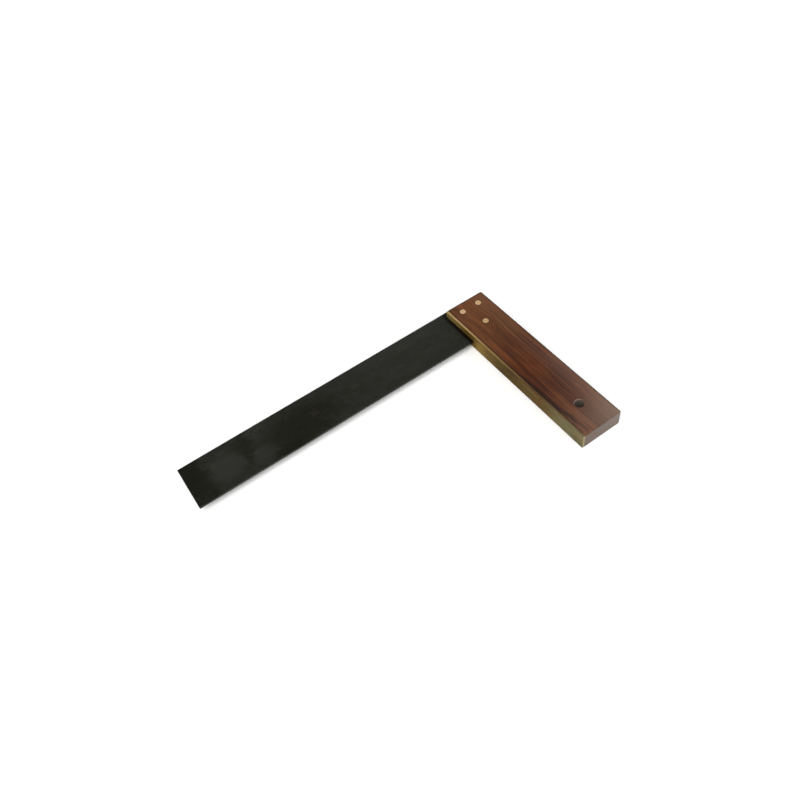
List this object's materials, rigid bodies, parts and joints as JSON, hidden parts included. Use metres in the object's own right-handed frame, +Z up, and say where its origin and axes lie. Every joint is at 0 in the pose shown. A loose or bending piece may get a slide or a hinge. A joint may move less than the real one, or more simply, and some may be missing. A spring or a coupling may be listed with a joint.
{
  "type": "try square",
  "caption": "Joiner's try square with a dark steel blade let into a rosewood stock that has a brass face plate, brass rivets over washers at the heel and a hanging hole.",
  "frame": {"origin": "the square's inner corner on the bench: the brass face is the plane x = 0, the blade's inner edge is the plane y = 0 and the underside is the plane z = 0", "axes": "+Z up through the stock's thickness, the blade points along -X, and the stock runs along Y with its heel at +Y"},
  "size_m": [0.3495, 0.2057, 0.0165],
  "materials": {
    "rosewood": "satin lacquer over dark grain",
    "blued_steel": "blued almost black, cloudy, satin",
    "plate_brass": "drawn along its length, lightly tarnished",
    "rivet_brass": "filed flush and polished"
  },
  "bodies": {
    "root": {"stock": "rosewood", "blade": "blued_steel", "face_plate": "plate_brass", "inner_rivet": "rivet_brass", "outer_rivet": "rivet_brass", "lower_rivet": "rivet_brass", "inner_rivet_upper_washer": "rivet_brass", "inner_rivet_under_washer": "rivet_brass", "outer_rivet_upper_washer": "rivet_brass", "outer_rivet_under_washer": "rivet_brass", "lower_rivet_upper_washer": "rivet_brass", "lower_rivet_under_washer": "rivet_brass", "upper_fork_pin": "plate_brass", "under_fork_pin": "plate_brass", "plate_pin_1": "plate_brass", "plate_pin_2": "plate_brass", "plate_pin_3": "plate_brass", "plate_pin_4": "plate_brass"}
  },
  "joints": []
}
